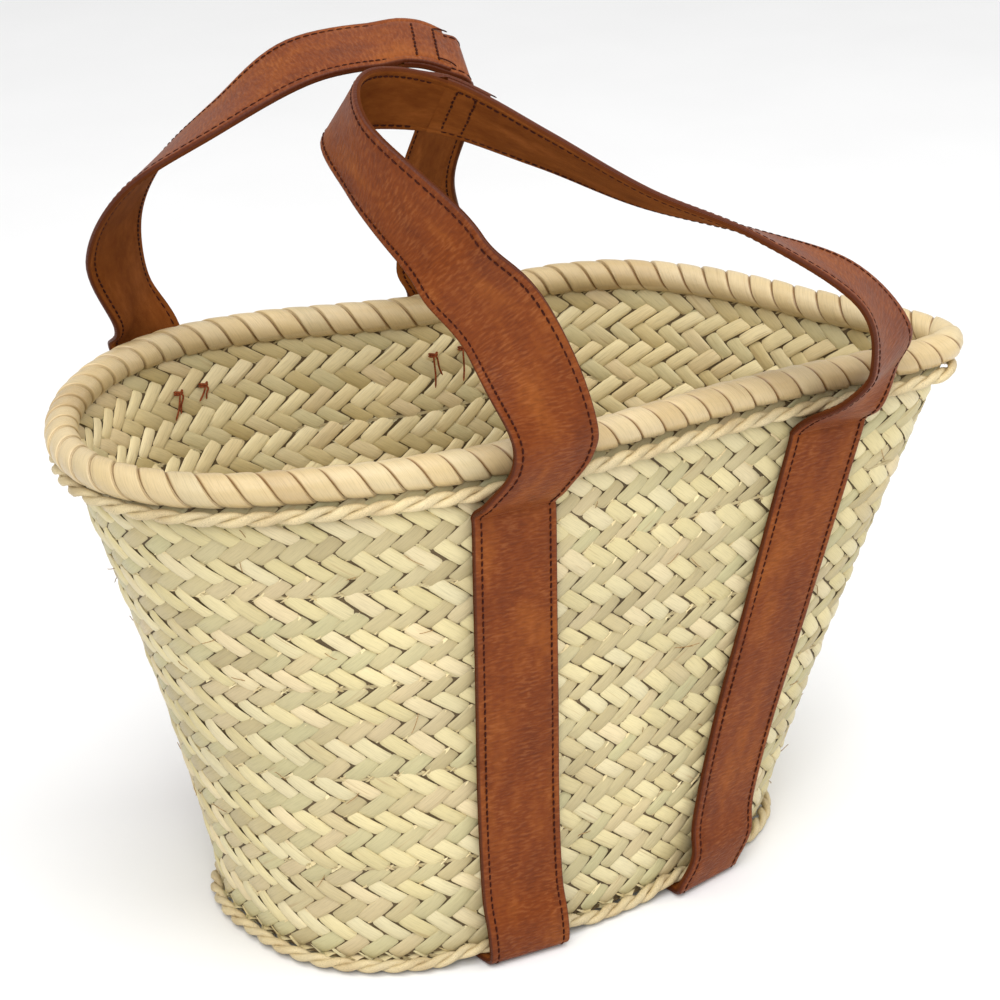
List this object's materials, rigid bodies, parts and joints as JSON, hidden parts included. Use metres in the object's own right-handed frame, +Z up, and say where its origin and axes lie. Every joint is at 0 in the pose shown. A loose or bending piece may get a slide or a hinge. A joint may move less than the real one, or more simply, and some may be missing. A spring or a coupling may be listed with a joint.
{
  "type": "woven market basket",
  "caption": "Oval plaited palm-leaf market basket with a wrapped rim and folding leather strap handles that run down the walls and under the base.",
  "frame": {"origin": "on the floor under the middle of the base, at the middle of the flat face that the basket rests on", "axes": "+Z up; +X along the length of the mouth, towards its pinched corner; -Y towards the front wall, so the depth runs along Y"},
  "size_m": [0.4944, 0.3358, 0.4733],
  "materials": {
    "rim_leaf": "smooth wrapped palm leaf",
    "core_straw": "straw bundle",
    "twisted_leaf_cord": "twisted palm leaf",
    "palm_twine": "dry palm twine",
    "plaited_palm_leaf": "dry palm leaf, satin",
    "suede_lining": "matte suede",
    "brown_thread": "waxed thread",
    "red_brown_thread": "waxed thread",
    "saddle_leather": "waxed pull-up leather, satin"
  },
  "bodies": {
    "basket": {"back_left_tie": "red_brown_thread", "back_right_tie": "red_brown_thread", "base_cord": "twisted_leaf_cord", "base_plait": "plaited_palm_leaf", "front_left_tie": "red_brown_thread", "front_right_tie": "red_brown_thread", "left_strap_back_lining": "suede_lining", "left_strap_back_outer": "saddle_leather", "left_strap_base_lining": "suede_lining", "left_strap_base_outer": "saddle_leather", "left_strap_front_lining": "suede_lining", "left_strap_front_outer": "saddle_leather", "left_strap_thread": "brown_thread", "right_strap_back_lining": "suede_lining", "right_strap_back_outer": "saddle_leather", "right_strap_base_lining": "suede_lining", "right_strap_base_outer": "saddle_leather", "right_strap_front_lining": "suede_lining", "right_strap_front_outer": "saddle_leather", "right_strap_thread": "brown_thread", "rim_cord": "twisted_leaf_cord", "rim_core": "core_straw", "rim_wrap": "rim_leaf", "seam_twine": "palm_twine", "wall_course_1": "plaited_palm_leaf", "wall_course_2": "plaited_palm_leaf", "wall_course_3": "plaited_palm_leaf", "wall_course_4": "plaited_palm_leaf", "wall_course_5": "plaited_palm_leaf"},
    "front_handle": {"front_handle_left_lining": "suede_lining", "front_handle_left_outer": "saddle_leather", "front_handle_right_lining": "suede_lining", "front_handle_right_outer": "saddle_leather", "front_handle_thread": "brown_thread", "front_splice_thread": "brown_thread"},
    "back_handle": {"back_handle_left_lining": "suede_lining", "back_handle_left_outer": "saddle_leather", "back_handle_right_lining": "suede_lining", "back_handle_right_outer": "saddle_leather", "back_handle_thread": "brown_thread", "back_splice_thread": "brown_thread"}
  },
  "joints": [
    {"name": "front_handle_fold", "type": "hinge", "parent": "basket", "child": "front_handle", "pos_m": [-0.055, -0.128, 0.289], "axis": [0.9959, -0.0901, 0], "range_deg": [0, 165]},
    {"name": "back_handle_fold", "type": "hinge", "parent": "basket", "child": "back_handle", "pos_m": [-0.12, 0.182, 0.289], "axis": [-0.9801, 0.1985, 0], "range_deg": [0, 165]}
  ]
}
